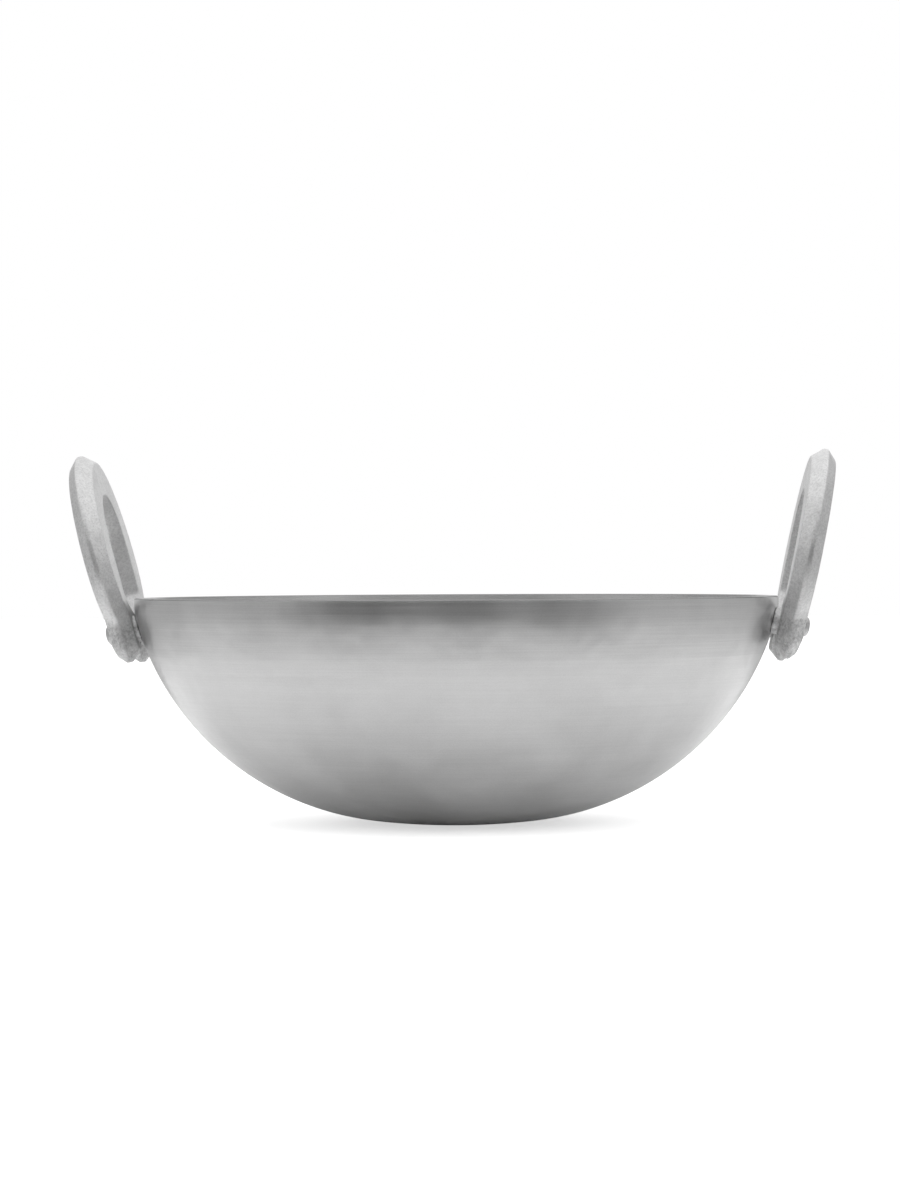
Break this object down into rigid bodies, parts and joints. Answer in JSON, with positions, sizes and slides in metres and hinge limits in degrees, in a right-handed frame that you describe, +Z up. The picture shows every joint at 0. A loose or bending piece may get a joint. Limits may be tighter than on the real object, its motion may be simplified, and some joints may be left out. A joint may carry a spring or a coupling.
{
  "type": "kadai pan",
  "caption": "Round-bottomed deep aluminium pan with a plain rim and an upright cast loop handle riveted to each side.",
  "frame": {"origin": "centre of the small flat under the bowl, on the bowl's axis", "axes": "+X towards the right handle, +Y away from the viewer of the picture, +Z up out of the bowl"},
  "size_m": [0.3333, 0.28, 0.1624],
  "materials": {
    "sheet_aluminium": "spun and brushed, fine rings round the bowl",
    "cast_aluminium": "rough sand-cast skin, tumbled edges",
    "rivet_aluminium": "dull, lightly marked by the rivet set"
  },
  "bodies": {
    "root": {"bowl": "sheet_aluminium", "left_handle": "cast_aluminium", "right_handle": "cast_aluminium", "left_front_rivet": "rivet_aluminium", "left_rear_rivet": "rivet_aluminium", "right_front_rivet": "rivet_aluminium", "right_rear_rivet": "rivet_aluminium"}
  },
  "joints": []
}
